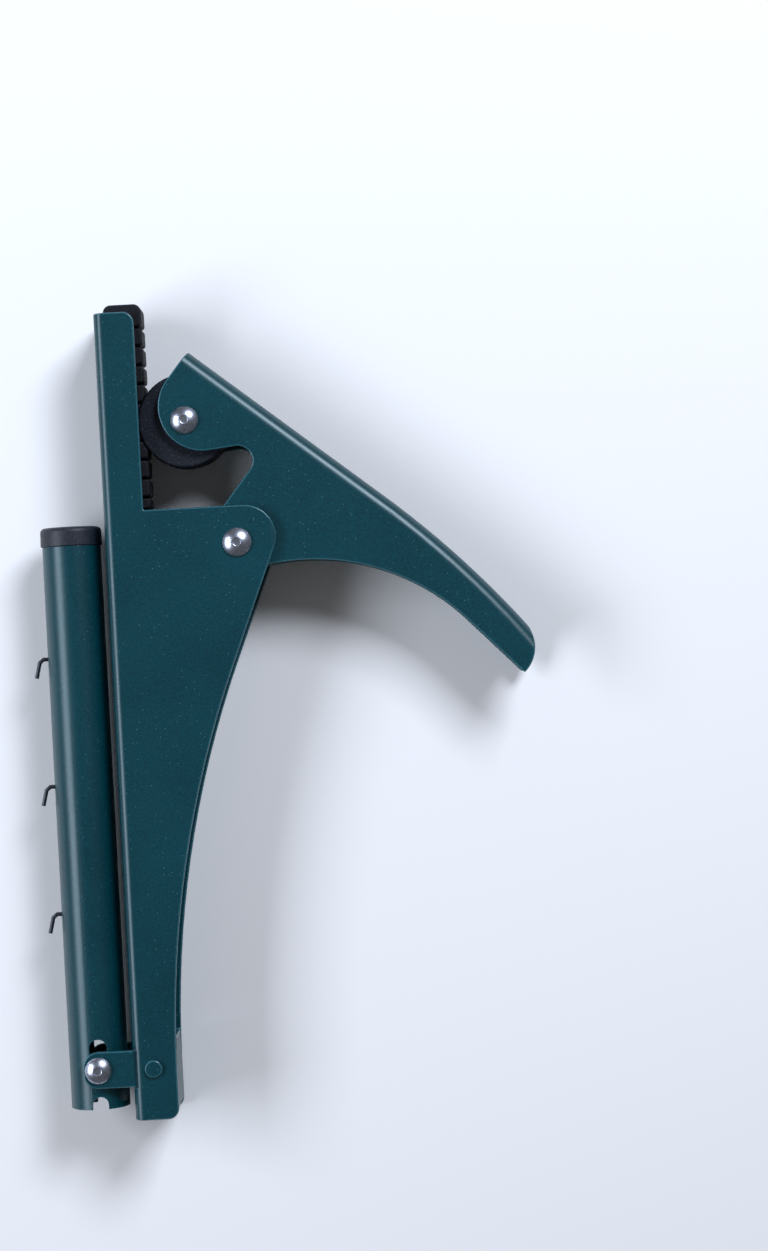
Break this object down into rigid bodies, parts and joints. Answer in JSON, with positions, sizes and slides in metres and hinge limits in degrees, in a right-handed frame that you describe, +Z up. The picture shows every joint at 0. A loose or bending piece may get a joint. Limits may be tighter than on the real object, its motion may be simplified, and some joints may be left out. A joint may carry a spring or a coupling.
{
  "type": "table tennis net clamp",
  "caption": "Spring clamp with a squeeze lever and rubber wheel that grips a table's edge and carries a folding, locking post for one end of a net.",
  "frame": {"origin": "centre of the part's bounding box in X and Y, at the lowest point of the rivet heads that it lies on", "axes": "+Y along the clamp body towards its jaw, +X from the web towards the lever's handle, +Z up through the clamp's width, away from the face it lies on"},
  "size_m": [0.1318, 0.2128, 0.0257],
  "materials": {
    "green": "glossy powder coat",
    "pad": "moulded, matte",
    "wheel": "moulded, matte",
    "zinc": "bright zinc plate",
    "steel": "plain drawn steel",
    "washer": "plain moulded nylon",
    "cap": "moulded, fine speckle",
    "wire": "dark drawn wire"
  },
  "bodies": {
    "frame": {"body_channel": "green", "jaw_pad": "pad", "pivot_rivet": "zinc", "pivot_sleeve": "steel", "pivot_washers": "washer", "torsion_spring": "steel", "front_bracket_plate": "green", "rear_bracket_plate": "green", "lock_pin": "green"},
    "lever": {"lever": "green", "wheel_rivet": "zinc", "wheel_washers": "washer"},
    "wheel": {"pressure_wheel": "wheel", "wheel_bush": "steel"},
    "post_pivot": {"post_rivet": "zinc"},
    "post": {"post_tube": "green", "post_cap": "cap", "net_hook_1": "wire", "net_hook_2": "wire", "net_hook_3": "wire"}
  },
  "joints": [
    {"name": "lever_hinge", "type": "hinge", "parent": "frame", "child": "lever", "pos_m": [-0.01027, 0.0426, 0.01283], "axis": [0, 0, -1], "range_deg": [0, 50], "stiffness_Nm_per_rad": 1, "springref_deg": -34.38, "deforming": ["torsion_spring"]},
    {"name": "wheel_spin", "type": "hinge", "parent": "lever", "child": "wheel", "pos_m": [-0.0224, 0.0752, 0.01283], "axis": [0, 0, 1], "continuous": true},
    {"name": "post_swing", "type": "hinge", "parent": "frame", "child": "post_pivot", "pos_m": [-0.05378, -0.093, 0.01283], "axis": [0, 0, 1], "range_deg": [0, 90]},
    {"name": "post_seat", "type": "slide", "parent": "post_pivot", "child": "post", "axis": [0, -1, 0], "range_m": [-0.0016, 0.0055]}
  ]
}
